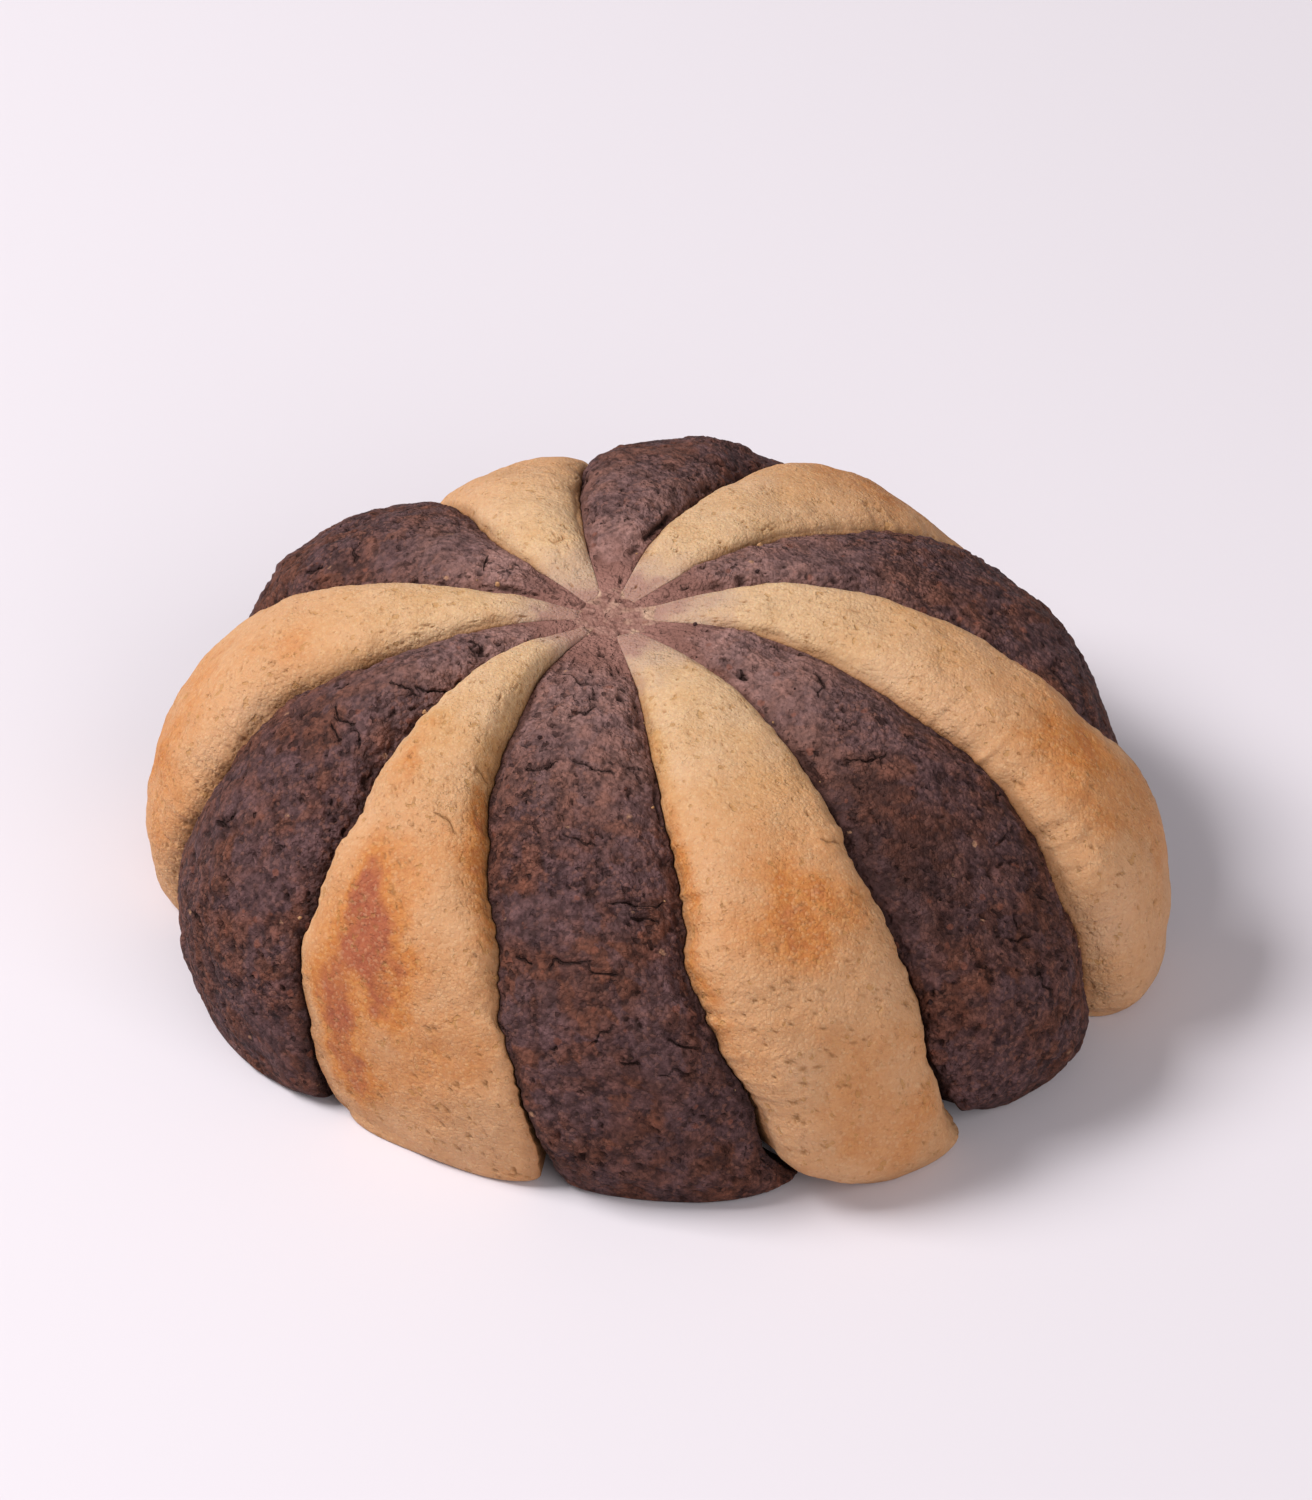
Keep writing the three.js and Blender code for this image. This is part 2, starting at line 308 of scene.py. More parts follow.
def meridian(stretch):
    """The cookie's meridian at a stretch, 0 at the knot, 0.8 at the girth and 1 at the base's
    edge: a superellipse above the girth and an arc tucked in below it. Gives the share of the
    way out, the height and the surface's lean from level to upright."""
    lean = np.minimum(stretch / GIRTH_STRETCH, 1) * math.pi / 2
    power = 2 / SHOULDER_FULLNESS
    upper = GIRTH_HEIGHT + (GROOVE_TOP - GIRTH_HEIGHT) * np.maximum(np.cos(lean), 0)**power
    turn = np.clip((stretch - GIRTH_STRETCH) / (1 - GIRTH_STRETCH), 0, 1) * GIRTH_TUCK_ANGLE
    tuck = (1 - np.cos(turn)) / (1 - math.cos(GIRTH_TUCK_ANGLE))
    lower = GIRTH_HEIGHT * (1 - np.sin(turn) / math.sin(GIRTH_TUCK_ANGLE))
    above = stretch <= GIRTH_STRETCH
    share = np.where(above, np.sin(lean)**power, 1 - (1 - BASE_SHARE) * tuck)
    height = np.where(above, upper, lower) - KNOT_SINK * np.exp(-(share / KNOT_SINK_WIDTH)**2)
    return share, np.where(stretch >= 1, 0, height), lean


def wave(shape, distance, index):
    """A sine wave whose phase differs from one petal or groove to the next."""
    return shape.height * np.sin(TURN * (shape.waves * distance + shape.turn * index))


def groove_bearing(index, stretch):
    """A groove's bearing in radians: a parabola through its three bearings, with a wander and
    jags, and the ragged line of the crumb where two doughs meet, all fading at both ends."""
    wrapped = index % len(PETALS)
    inner, halfway, rim = PETALS[wrapped].groove
    along = np.clip(stretch, GROOVE_BEND_START, GROOVE_BEND_END)
    middle = (GROOVE_BEND_END + GROOVE_BEND_START) / 2
    t = (along - middle) / (GROOVE_BEND_END - middle)
    bow = (inner + rim) / 2 - halfway
    line = halfway + (rim - inner) / 2 * t + bow * t * t + 360 * (index // len(PETALS))
    uneven = wave(WANDER, along, wrapped) + wave(JAG, along, wrapped)
    share = meridian(stretch)[0]
    spot = np.stack([stretch * 40, np.full_like(stretch, wrapped * 9.7), stretch * 0], axis=-1)
    ragged = layered(spot, GROOVE_CRUMB)
    ragged = np.degrees(ragged / (GROOVE_RADIUS * np.maximum(share, 0.12)))
    return np.radians(line + (uneven + ragged) * (1 - t * t))


def place(share, out, bearing, sideways, height):
    """A point at a bearing, some way out from the knot's side, moved sideways."""
    x = KNOT_PLACE[0] * (1 - share) + out * np.sin(bearing) + sideways * np.cos(bearing)
    y = KNOT_PLACE[1] * (1 - share) - out * np.cos(bearing) + sideways * np.sin(bearing)
    return np.stack(np.broadcast_arrays(x - BASE_MIDDLE[0], y - BASE_MIDDLE[1], height), axis=-1)


def groove_inset(stretch):
    """How far a petal's side is drawn in from the middle of its groove: hardly at all where
    the tips are pinched together."""
    rounding = np.maximum((stretch - END_ROUNDING_START) / (1 - END_ROUNDING_START), 0)
    pinched = 0.15 + 0.85 * smooth_step(0.1, 0.3, stretch)
    return PRESSED_GAP / 2 * pinched + END_ROUNDING_DEPTH * rounding**2


def lobe_bulge(index, stretch, across):
    """How far the lobe stands out of the meridian, square to it, and how far its end reaches
    beyond the mean. Across is -1 at the first groove and 1 at the second."""
    petal = PETALS[index]
    lobe = LOBES[petal.dough]
    share = meridian(stretch)[0]
    section = np.maximum(1 - np.abs(across)**lobe.flatness, 0)**lobe.roundness
    growth = (1 - (1 - share)**LOBE_GROWTH) * (0.3 + 0.7 * smooth_step(0.05, 0.3, share))
    along = np.sin(TURN * (SWELL_ALONG.waves * stretch + SWELL_ALONG.turn * index))
    aside = np.sin(TURN * (SWELL_ACROSS.waves * across + SWELL_ACROSS.turn * index))
    swell = SWELL_ALONG.height * along + SWELL_ACROSS.height * aside + SWELL_BOTH * along * aside
    proud = (lobe.height * petal.rise + swell) * growth * section
    return proud, petal.reach * share**REACH_GROWTH * section


def between_grooves(index, stretch, across):
    """The bearing at a place across the petal, even between its two grooves."""
    first = groove_bearing(index, stretch)
    second = groove_bearing(index + 1, stretch)
    return first + (second - first) * (across + 1) / 2


def petal_top(index, stretch, across):
    """The petal's outer surface: the meridian at each stretch, with the lobe standing out of
    it square to its lean."""
    share, height, lean = meridian(stretch)
    proud, reach = lobe_bulge(index, stretch, across)
    out = share * GROOVE_RADIUS + proud * np.sin(lean) + reach
    level = np.where(stretch >= 1, 0, height + proud * np.cos(lean))
    bearing = between_grooves(index, stretch, across)
    return place(share, out, bearing, -across * groove_inset(stretch), level)


def petal_underside(index, stretch, across):
    """The petal's flat underside: it runs evenly from the tip to the base's edge and bulges
    there as the edge does, further in more gently towards the sides."""
    tip = stretch_at_share(TIP_SHARE)
    share = TIP_SHARE + (BASE_SHARE - TIP_SHARE) * (stretch - tip) / (1 - tip)
    proud, reach = lobe_bulge(index, np.ones_like(stretch), across)
    growth = (share / BASE_SHARE)**REACH_GROWTH
    gentle = (1 - across**2)**(1 / np.maximum(growth, 0.25) - 1)
    out = share * GROOVE_RADIUS + (proud + reach) * growth * gentle
    bearing = between_grooves(index, stretch, across)
    return place(share, out, bearing, -across * groove_inset(stretch), np.zeros_like(share))


def stretch_at_share(share):
    """The stretch above the girth at which the meridian reaches a share of the way out."""
    return np.arcsin(share**(SHOULDER_FULLNESS / 2)) / (math.pi / 2) * GIRTH_STRETCH


def lengths(points, axis):
    """Distance travelled along one axis of a grid of points, from its first row."""
    steps = np.linalg.norm(np.diff(points, axis=axis), axis=-1)
    start = np.zeros_like(np.take(steps, [0], axis=axis))
    return np.concatenate([start, np.cumsum(steps, axis=axis)], axis=axis)


def outward(points):
    """Unit normals of a grid of points: its row direction crossed with its column direction."""
    normal = np.cross(np.gradient(points, axis=0), np.gradient(points, axis=1))
    return normal / np.maximum(np.linalg.norm(normal, axis=-1, keepdims=True), 1e-12)


def cracks(petal, points, stretch, along, aside, dough, rng):
    """The petal's cracks, those of the table and short ones at random places: how open they
    are, from 0 to 1, the lip on their upper side, how far off its middle line each place is in
    millimetres, and how much of a crack runs near it. A crack is a bent and wavy line with a
    bell-shaped section that fades towards both ends."""
    wobble = layered(points, CRACK_WOBBLE)
    chance = [(rng.uniform(0.1, 0.75), rng.uniform(-0.8, 0.8), rng.uniform(0.3, 1.1),
               rng.normal(0, 0.5), rng.uniform(-0.15, 0.15), rng.uniform(0.3, 0.9))
              for _ in range(dough.cracks)]
    deepest, lip, off_line, near_line = np.zeros((4, *points.shape[:-1]))
    for at_stretch, at_across, reach, turn, bow, depth in CRACKS.get(petal.name, []) + chance:
        row = np.abs(stretch[:, 0] - at_stretch).argmin()
        u = aside - aside[row].max() * at_across
        v = along - along[row, 0]
        lengthways = u * math.cos(turn) + v * math.sin(turn)
        off = v * math.cos(turn) - u * math.sin(turn)
        off = off + bow * (lengthways**2 - reach**2 / 3) + wobble
        fade = depth * np.sqrt(np.clip(1 - (lengthways / reach)**2, 0, 1))
        width = CRACK_WIDTH * (0.5 + 0.7 * fade)
        near = fade * np.exp(-(off / 0.3)**2)
        off_line = np.where(near > near_line, off, off_line)
        near_line = np.maximum(near_line, near)
        deepest = np.maximum(deepest, fade * np.exp(-(off / width)**2))
        lip = np.maximum(lip, fade * np.exp(-((off - 2.6 * width) / (2 * width))**2))
    return deepest, lip, off_line, near_line


def dough_relief(points, dough, near_edge, seed):
    """Height of the dough's crumb in millimetres, and its pores, its crumbliness, how far
    each place is raised on its grains and its clump's random number, from 0 to 1.
    Slow lumps carry two sizes of broken grains and a fine sand. A grain is a dome of its own
    height round a scattered point. Grains are stronger in crumbly places and along the
    grooves, and pores are hollows where noise of two sizes runs high."""
    lump = layered(points, LUMPS, seed)
    crumbly = layered(points, CRUMBLY_PLACES, seed)
    crumbly = smooth_step(-0.9, 0.7, crumbly + 0.4 * near_edge)
    crumbly = dough.evenness + (1 - dough.evenness) * crumbly
    shift = np.stack([smooth_noise(points, 0.45, seed + k) for k in (5, 6, 7)], axis=-1)
    uneven = points + 0.14 * shift
    far, clump = scattered(uneven, dough.coarse_size, seed + 10)
    coarse = (0.5 + clump) * (0.5 - far**2)
    far, own = scattered(uneven, dough.fine_size, seed + 20)
    fine = (0.3 + 1.4 * own) * (0.5 - far**2)
    sand = layered(points, SAND, seed)
    grain = crumbly * (dough.coarse * coarse + dough.fine * fine) + dough.sand * sand
    raised = smooth_step(-0.2, 1.0, coarse + 0.6 * fine + 0.3 * sand)
    high = layered(points, (Noise(0.6, dough.pore_size, 30),
                            Noise(0.4, dough.pore_size * 0.45, 31)), seed)
    level = dough.pore_level + 0.2 * (1 - crumbly)
    pores = smooth_step(level, level + 0.15, high)
    return dough.lump * lump + grain - RELIEF_SINK, pores, crumbly, raised, clump


def add_object(name, data):
    """A new object that holds a mesh, a lamp or a camera, placed in the scene."""
    thing = bpy.data.objects.new(name, data)
    bpy.context.scene.collection.objects.link(thing)
    return thing


class Body:
    """Collects points, faces and values of one closed surface."""

    def __init__(self):
        self.points = []
        self.faces = []
        self.values = {}
        self.count = 0

    def add(self, points, **values):
        """Adds a grid of points with a value each for every named attribute, and returns
        their numbers in the same grid."""
        flat = points.reshape(-1, 3)
        self.points.append(flat)
        for name in ATTRIBUTES:
            value = np.broadcast_to(values.get(name, 0.0), points.shape[:-1]).reshape(-1)
            self.values.setdefault(name, []).append(value)
        numbers = np.arange(self.count, self.count + len(flat)).reshape(points.shape[:-1])
        self.count += len(flat)
        return numbers

    def grid(self, numbers):
        """Quads over a grid of point numbers, facing rows crossed with columns."""
        quads = (numbers[:-1, :-1], numbers[1:, :-1], numbers[1:, 1:], numbers[:-1, 1:])
        self.faces.append(np.stack(quads, axis=-1).reshape(-1, 4))

    def fan(self, middle, row):
        """Triangles from one point to each step of a row."""
        corners = (np.full(len(row) - 1, middle), row[:-1], row[1:])
        self.faces.append(np.stack(corners, axis=-1))

    def gather(self, coarse, fine):
        """Triangles between a coarse row and a fine one whose steps divide its own."""
        ratio = (len(fine) - 1) // (len(coarse) - 1)
        spread = np.repeat(coarse[:-1], ratio)
        self.faces.append(np.stack((spread, fine[:-1], fine[1:]), axis=-1))
        self.faces.append(np.stack((coarse[:-1], fine[ratio::ratio], coarse[1:]), axis=-1))

    def make(self, name, material):
        """The mesh object, in metres and smooth, with its values as point attributes."""
        points = np.concatenate(self.points) * MM
        sizes = np.concatenate([np.full(len(f), f.shape[1]) for f in self.faces])
        corners = np.concatenate([f.reshape(-1) for f in self.faces])
        mesh = bpy.data.meshes.new(name)
        mesh.vertices.add(len(points))
        mesh.vertices.foreach_set("co", points.astype(np.float32).reshape(-1))
        mesh.loops.add(len(corners))
        mesh.loops.foreach_set("vertex_index", corners.astype(np.int32))
        mesh.polygons.add(len(sizes))
        starts = np.concatenate([[0], np.cumsum(sizes)[:-1]])
        mesh.polygons.foreach_set("loop_start", starts.astype(np.int32))
        mesh.polygons.foreach_set("use_smooth", np.ones(len(sizes), bool))
        mesh.update(calc_edges=True)
        mesh.validate()
        for key, parts in self.values.items():
            attribute = mesh.attributes.new(key, "FLOAT", "POINT")
            attribute.data.foreach_set("value", np.concatenate(parts).astype(np.float32))
        mesh.materials.append(material)
        return add_object(name, mesh)


# Values that the materials read at every point: how near the knot, how near a groove, how
# deep in a pore or crack, how browned and how much painted shade, how much cream is in a
# mixed dough, how crumbly, how near the crown, how far raised on a grain, a random number for
# each clump, and how far off a crack's line and how near one
ATTRIBUTES = ("hub", "edge", "hollow", "bake", "creamy", "crumbly", "crown", "raised",
              "clump", "off_line", "near_line")


def hub_nearness(points, share):
    """How much the tips are smeared together: full at the knot, with a ragged end."""
    return smooth_step(0.27, 0.07, share + 0.07 * layered(points, RAGGED_HUB))


def torn_edge(points, inward, share):
    """Where a petal's edge is torn: a band just inside the groove, where slow noise runs high,
    broken up by finer noise and strongest on the upper half."""
    band = np.exp(-((inward - 0.38 - layered(points, TORN_LINE)) / 0.2)**2)
    where = smooth_step(0.15, 0.5, layered(points, TORN_PLACES))
    return band * where * smooth_step(0.9, 0.4, share) * smooth_step(0.14, 0.28, share)


def browning_and_shade(petal, stretch, across, points, edge, lean):
    """How browned the dough is, with painted shade: most on the shoulder and the side, in cloudy
    patches, with paler rims, and darker at this petal's own places of browning and painted
    shade."""
    cloud = layered(points, CLOUDS)
    ragged = layered(points, RAGGED_BROWNING)
    flank = smooth_step(0.15, 1.0, lean)
    bake = flank * (0.42 + 0.3 * cloud) + 0.1 * cloud
    for at_stretch, at_across, tall, wide, strength in BROWNINGS_AND_SHADE.get(petal.name, []):
        away = ((stretch - at_stretch) / tall)**2
        away = away + ((across - at_across) / wide)**2 + 0.4 * cloud + 0.4 * ragged
        bake = bake + strength * np.exp(-np.maximum(away, 0))
    return np.clip(bake * (1 - 0.35 * edge), 0, 1.2)


def petal_grid():
    """The stretch of each row of a petal's grid, from its tip to the base's edge, and how far
    across each column is. The columns are closer together near the grooves."""
    tip = stretch_at_share(TIP_SHARE)
    above = np.linspace(tip, GIRTH_STRETCH, ROWS_ABOVE_GIRTH, endpoint=False)
    below = np.linspace(GIRTH_STRETCH, 1, ROWS_BELOW_GIRTH + 1)
    stretch = np.concatenate([above, below])[:, None]
    across = np.sin(np.linspace(-0.5, 0.5, STEPS_ACROSS + 1) * math.pi)[None, :]
    return stretch, across


def baked_top(index, stretch, across):
    """The petal's top with its relief, and the values that the materials read there. The
    relief stands square to the smooth form, is calmer near the knot and fades at the grooves
    and at the base's edge."""
    petal = PETALS[index]
    dough = DOUGHS[petal.dough]
    smooth = petal_top(index, stretch + 0 * across, across + 0 * stretch)
    share, _, lean = meridian(stretch)
    aside = lengths(smooth, axis=1)
    inward = np.minimum(aside, aside[:, -1:] - aside)
    edge = np.exp(-inward / EDGE_WIDTH * (1 + layered(smooth, UNEVEN_EDGE)))
    along = lengths(smooth, axis=0)[:, STEPS_ACROSS // 2][:, None] + 0 * across
    aside = aside - aside[:, -1:] / 2
    hub = hub_nearness(smooth, share)
    near_edge = np.maximum(edge, hub)
    relief, pores, crumbly, raised, clump = dough_relief(smooth, dough, near_edge, dough.seed)
    rng = np.random.default_rng(CRACK_SEED + index)
    split, lip, off_line, near_line = cracks(petal, smooth, stretch, along, aside, dough, rng)
    torn = torn_edge(smooth, inward, share) if dough.torn else 0 * share

    fade = smooth_step(0, FADE_WIDTH, inward)
    low = smooth_step(1.0, 0.92, stretch)
    calm = 0.25 + 0.75 * smooth_step(0.06, 0.26, share)
    deep = dough.pore * pores + dough.crack_depth * split + dough.torn * torn
    height = ((relief + LIP_HEIGHT * lip) * calm - deep) * fade * low
    top = smooth + outward(smooth) * height[..., None]
    top[..., 2] = np.maximum(top[..., 2], 0)
    top[-1, :, 2] = 0

    hollow = np.maximum(np.maximum(pores * 0.8, split * 1.5), torn)
    values = {
        "hub": hub,
        "edge": edge,
        "hollow": np.clip(hollow * fade, 0, 1),
        "bake": browning_and_shade(petal, stretch, across, smooth, edge, lean),
        "crumbly": crumbly,
        "crown": smooth_step(0.75, 0.1, share),
        "raised": raised,
        "clump": clump,
        "off_line": off_line,
        "near_line": near_line * fade,
    }
    return top, values


def dented_foot(index, stretch, across):
    """The petal's underside on fewer columns, which run back from its second groove to its
    first, with shallow dents inside its outline, and how deep each dent is."""
    coarse = across[:, ::STEPS_ACROSS // STEPS_UNDERSIDE][:, ::-1]
    foot = petal_underside(index, stretch + 0 * coarse, coarse + 0 * stretch)
    dents = smooth_step(0.1, 0.8, layered(foot, DENTS)) * DENT_DEPTH
    inner = smooth_step(0, 0.8, 1 - np.abs(coarse)) * smooth_step(0, 0.1, 1 - stretch)
    foot[..., 2] = dents * inner
    return foot, dents


def petal_body(index):
    """One petal as a closed body, with its top's points and how near a groove they are. Rings
    of the top, a side, the underside and the other side are carried from the tip to the base's
    edge, where the underside meets the top."""
    stretch, across = petal_grid()
    top, values = baked_top(index, stretch, across)
    foot, dents = dented_foot(index, stretch[:-1], across)
    down = np.linspace(0, 1, STEPS_DOWN + 1)[1:-1][None, :, None]
    second = top[:-1, -1][:, None] * (1 - down) + foot[:, 0][:, None] * down
    first = foot[:, -1][:, None] * (1 - down) + top[:-1, 0][:, None] * down

    body = Body()
    top_numbers = body.add(top, **values)
    ring = np.concatenate([
        top_numbers[:-1],
        body.add(second, edge=1.0, bake=0.3, crumbly=0.7),
        body.add(foot, bake=0.42, hollow=dents * 2, crumbly=0.4),
        body.add(first, edge=1.0, bake=0.3, crumbly=0.7),
        top_numbers[:-1, :1],
    ], axis=1)
    body.grid(ring)
    middle = body.add(np.mean(np.concatenate([top[0], foot[0]]), axis=0)[None])
    body.fan(middle[0], ring[0])

    rim = top_numbers[-1]
    last = ring[-1]
    corner_down = STEPS_ACROSS + STEPS_DOWN
    corner_up = corner_down + STEPS_UNDERSIDE
    body.grid(np.stack([last[:STEPS_ACROSS + 1], rim]))
    body.fan(rim[-1], last[STEPS_ACROSS:corner_down + 1][::-1])
    body.gather(last[corner_down:corner_up + 1], rim[::-1])
    body.fan(rim[0], last[corner_up:][::-1])
    return body, top, values["edge"]


def knot_body():
    """The knot of pinched tips: a plug that flares at its top into a cap over the tips' ends,
    with an uneven outline and a low dome, and patches of cream smeared in the cocoa."""
    turn = np.linspace(0, TURN, KNOT_AROUND + 1)[:-1]
    share_out = np.linspace(1, 0, KNOT_INWARD + 1)[:-1]
    circle = np.stack([np.cos(turn), np.sin(turn), 0 * turn], axis=-1)
    outline = KNOT_SHARE * (1 + layered(circle * 2.1, KNOT_OUTLINE))
    share = share_out[:, None] * outline[None, :]
    height = meridian(stretch_at_share(share))[1]
    dome = KNOT_RISE - KNOT_DROOP * share_out[:, None]**7
    top = place(share, share * GROOVE_RADIUS, turn[None, :], 0, height + dome)
    relief, pores, crumbly, raised, _ = dough_relief(top, DOUGHS["cocoa"], 0.8, KNOT_SEED)
    calm = smooth_step(1, 0.8, share_out)[:, None]
    top[..., 2] += (relief * 0.4 - 0.14 * pores) * calm

    near = np.array([GROOVE_BEND_START])
    bearings = np.degrees([groove_bearing(i, near)[0] for i in range(len(PETALS) + 1)])
    degrees = bearings[0] + (np.degrees(turn) - bearings[0]) % 360
    in_cream = (np.searchsorted(bearings, degrees) + 1) % 2
    creamy = in_cream[None, :] * smooth_step(0.5, 0.9, share_out)[:, None]
    creamy = np.clip(creamy + 0.6 * layered(top, KNOT_PATCHES), 0, 1)

    depth = (np.arange(1, KNOT_DOWN + 1) / KNOT_DOWN)[:, None]**2
    narrow = smooth_step(0, 0.06, depth)
    within = share[0] * (1 - narrow) + 0.94 * TIP_SHARE * narrow
    wall = place(within, within * GROOVE_RADIUS, turn[None, :], 0, top[0, :, 2] * (1 - depth))
    body = Body()
    rings = np.concatenate([
        body.add(wall[::-1], hub=1.0, bake=0.3),
        body.add(top, hub=1.0, creamy=creamy, hollow=pores * 0.8,
                 crumbly=crumbly, crown=1.0, raised=raised),
    ])
    rings = np.concatenate([rings, rings[:, :1]], axis=1)
    body.grid(rings[::-1])
    apex = body.add(np.mean(top[-1], axis=0)[None], hub=1.0)
    pole = body.add(np.mean(wall[-1], axis=0)[None], bake=0.3)
    body.fan(apex[0], rings[-1])
    body.fan(pole[0], rings[0][::-1])
    return body


def crumbs_body(spots, sizes, rng):
    """Loose crumbs joined in one body: each is a small ball on a grid of turns and tilts,
    squashed, turned and dented by noise, and sunk a third into the dough."""
    tilts = np.linspace(0, math.pi, CRUMB_TILTS)[1:-1][:, None]
    turns = np.linspace(0, TURN, CRUMB_AROUND + 1)[:-1][None, :]
    ball = np.stack(np.broadcast_arrays(
        np.sin(tilts) * np.cos(turns), np.sin(tilts) * np.sin(turns), np.cos(tilts)), axis=-1)
    poles = np.array([[0, 0, 1.0], [0, 0, -1.0]])
    body = Body()
    for number, (spot, size) in enumerate(zip(spots, sizes)):
        squash = rng.uniform(0.6, 1.1, 3)
        tumble = np.linalg.qr(rng.normal(size=(3, 3)))[0]
        tumble = tumble * np.sign(np.linalg.det(tumble))

        def shaped(points):
            dent = 1 + layered(points * 1.6 + number * 7.1, CRUMB_DENTS)
            return points * dent[..., None] * squash @ tumble * size + spot

        rows = body.add(shaped(ball), bake=0.15, edge=0.7, crumbly=1.0)
        rows = np.concatenate([rows, rows[:, :1]], axis=1)
        ends = body.add(shaped(poles), bake=0.15, edge=0.7, crumbly=1.0)
        body.grid(rows)
        body.fan(ends[0], rows[0])
        body.fan(ends[1], rows[-1][::-1])
    return body


def srgb(code):
    """Linear colour of a six-digit sRGB code."""
    parts = [int(code[i:i + 2], 16) / 255 for i in (0, 2, 4)]
    return (*[((c + 0.055) / 1.055)**2.4 if c > 0.04045 else c / 12.92 for c in parts], 1.0)


class Tree:
    """Places shader nodes in a tree. An input is given by name or number, and fed a value, a
    colour's code or a socket."""

    def __init__(self, tree):
        self.tree = tree

    def feed(self, socket, value):
        if isinstance(value, bpy.types.NodeSocket):
            self.tree.links.new(value, socket)
        else:
            socket.default_value = srgb(value) if isinstance(value, str) else value

    def node(self, kind, inputs=None, **settings):
        node = self.tree.nodes.new(kind)
        for name, value in settings.items():
            setattr(node, name, value)
        for name, value in (inputs or {}).items():
            self.feed(node.inputs[name], value)
        return node

    def math(self, operation, first, second=0.0):
        node = self.node("ShaderNodeMath", {0: first, 1: second}, operation=operation)
        return node.outputs[0]

    def times(self, first, second):
        return self.math("MULTIPLY", first, second)

    def plus(self, first, second):
        return self.math("ADD", first, second)

    def minus(self, first, second):
        return self.math("SUBTRACT", first, second)

    def mix(self, factor, first, second):
        """A colour between two, by a factor."""
        node = self.node("ShaderNodeMix", {0: factor, 6: first, 7: second}, data_type="RGBA")
        return node.outputs[2]

    def ramp(self, value, low, high):
        """0 to 1 as a value goes from low to high."""
        inputs = {"Value": value, "From Min": low, "From Max": high}
        return self.node("ShaderNodeMapRange", inputs).outputs[0]

    def attribute(self, name):
        return self.node("ShaderNodeAttribute", attribute_name=name).outputs["Fac"]

    def noise(self, spot, scale, detail, roughness=0.5):
        """Noise with that many features a metre."""
        inputs = {"Vector": spot, "Scale": scale, "Detail": detail, "Roughness": roughness}
        return self.node("ShaderNodeTexNoise", inputs).outputs[0]


def new_group(name, inputs, outputs):
    """An empty shader node group with these sockets, and the ends of its tree."""
    group = bpy.data.node_groups.new(name, "ShaderNodeTree")
    for label, kind, value in inputs:
        socket = group.interface.new_socket(label, in_out="INPUT", socket_type=kind)
        socket.default_value = value
    for label, kind in outputs:
        group.interface.new_socket(label, in_out="OUTPUT", socket_type=kind)
    tree = Tree(group)
    entry = tree.node("NodeGroupInput").outputs
    leave = tree.node("NodeGroupOutput").inputs
    return group, tree, entry, leave


NUMBER = "NodeSocketFloat"
COLOUR = "NodeSocketColor"


def object_spot(tree):
    return tree.node("ShaderNodeTexCoord").outputs["Object"]


def grain_group():
    """Fine grain of the dough: packed crumbs, each a dome as high as its own random number,
    over rough noise, with pits where a coarser noise runs high. Height is the relief, Fleck
    its light and dark, which follow the relief as painted shade in its low places and painted
    light on its high ones, Pit the pits, Tone the crumbs' random numbers and Mottle a slow
    cloudy pattern. Grain is the crumbs' size in millimetres."""
    group, tree, entry, leave = new_group(
        "dough_grain",
        [("Grain", NUMBER, 0.2), ("Mottle size", NUMBER, 3.0)],
        [("Height", NUMBER), ("Mottle", NUMBER), ("Fleck and shade", NUMBER), ("Pit", NUMBER),
         ("Tone", NUMBER)])
    spot = object_spot(tree)
    per_grain = tree.math("DIVIDE", 1000.0, entry["Grain"])
    per_mottle = tree.math("DIVIDE", 1000.0, entry["Mottle size"])
    jumble = tree.node("ShaderNodeTexNoise", {"Vector": spot, "Scale": per_grain, "Detail": 1.0})
    bend = {0: tree.times(entry["Grain"], 0.00035), 4: spot, 5: jumble.outputs["Color"]}
    bent = tree.node("ShaderNodeMix", bend, data_type="VECTOR").outputs[1]
    cells = tree.node("ShaderNodeTexVoronoi", {"Vector": bent, "Scale": per_grain})
    tone = tree.node("ShaderNodeSeparateColor", {0: cells.outputs["Color"]}).outputs[0]
    distance = cells.outputs["Distance"]
    squared = tree.times(distance, distance)
    dome = tree.minus(1.0, tree.times(squared, 1.5))
    dome = tree.times(dome, tree.plus(tone, 0.4))
    rough = tree.noise(spot, tree.times(per_grain, 0.5), 3.0, 0.68)
    pit = tree.ramp(tree.noise(bent, tree.times(per_grain, 0.55), 2.0), 0.65, 0.7)
    height = tree.plus(tree.times(rough, 1.6), tree.times(dome, 0.6))
    height = tree.minus(height, tree.times(pit, 0.9))
    mottle = tree.noise(spot, per_mottle, 4.0)
    # Follows the relief: painted shade in its low places and painted light on its high ones
    fleck_and_shade = tree.plus(tree.times(rough, 0.8), tree.times(dome, 0.12))
    tree.feed(leave["Height"], height)
    tree.feed(leave["Mottle"], tree.ramp(mottle, 0.3, 0.7))
    tree.feed(leave["Fleck and shade"], tree.ramp(fleck_and_shade, 0.34, 0.62))
    tree.feed(leave["Pit"], pit)
    tree.feed(leave["Tone"], tone)
    return group


